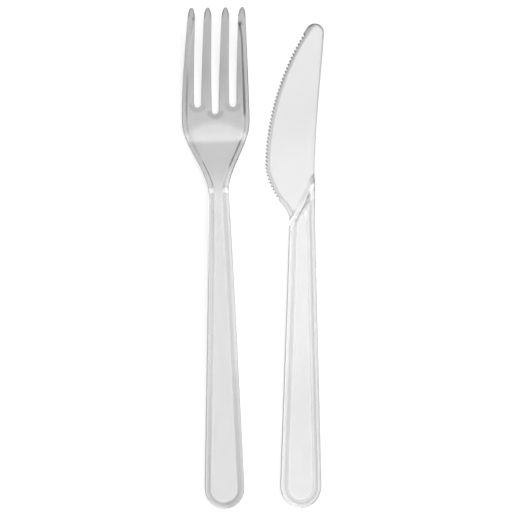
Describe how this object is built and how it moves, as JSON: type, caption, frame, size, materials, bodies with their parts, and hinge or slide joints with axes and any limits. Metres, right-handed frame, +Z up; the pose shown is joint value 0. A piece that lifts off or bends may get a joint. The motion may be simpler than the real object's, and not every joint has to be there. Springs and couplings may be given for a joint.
{
  "type": "plastic cutlery set",
  "caption": "Clear disposable fork and serrated knife lying side by side, each a one-piece moulding with a rimmed, recessed handle.",
  "frame": {"origin": "middle of the set's footprint, on the table that it lies on", "axes": "+Z up from the table, +Y from the handle ends towards the tips, +X from the fork towards the knife"},
  "size_m": [0.052, 0.1802, 0.0123],
  "materials": {
    "fork_polystyrene": "clear, glossy, slightly grey where it stands off the table",
    "knife_polystyrene": "clear, glossy"
  },
  "bodies": {
    "root": {"fork": "fork_polystyrene", "knife": "knife_polystyrene"}
  },
  "joints": []
}
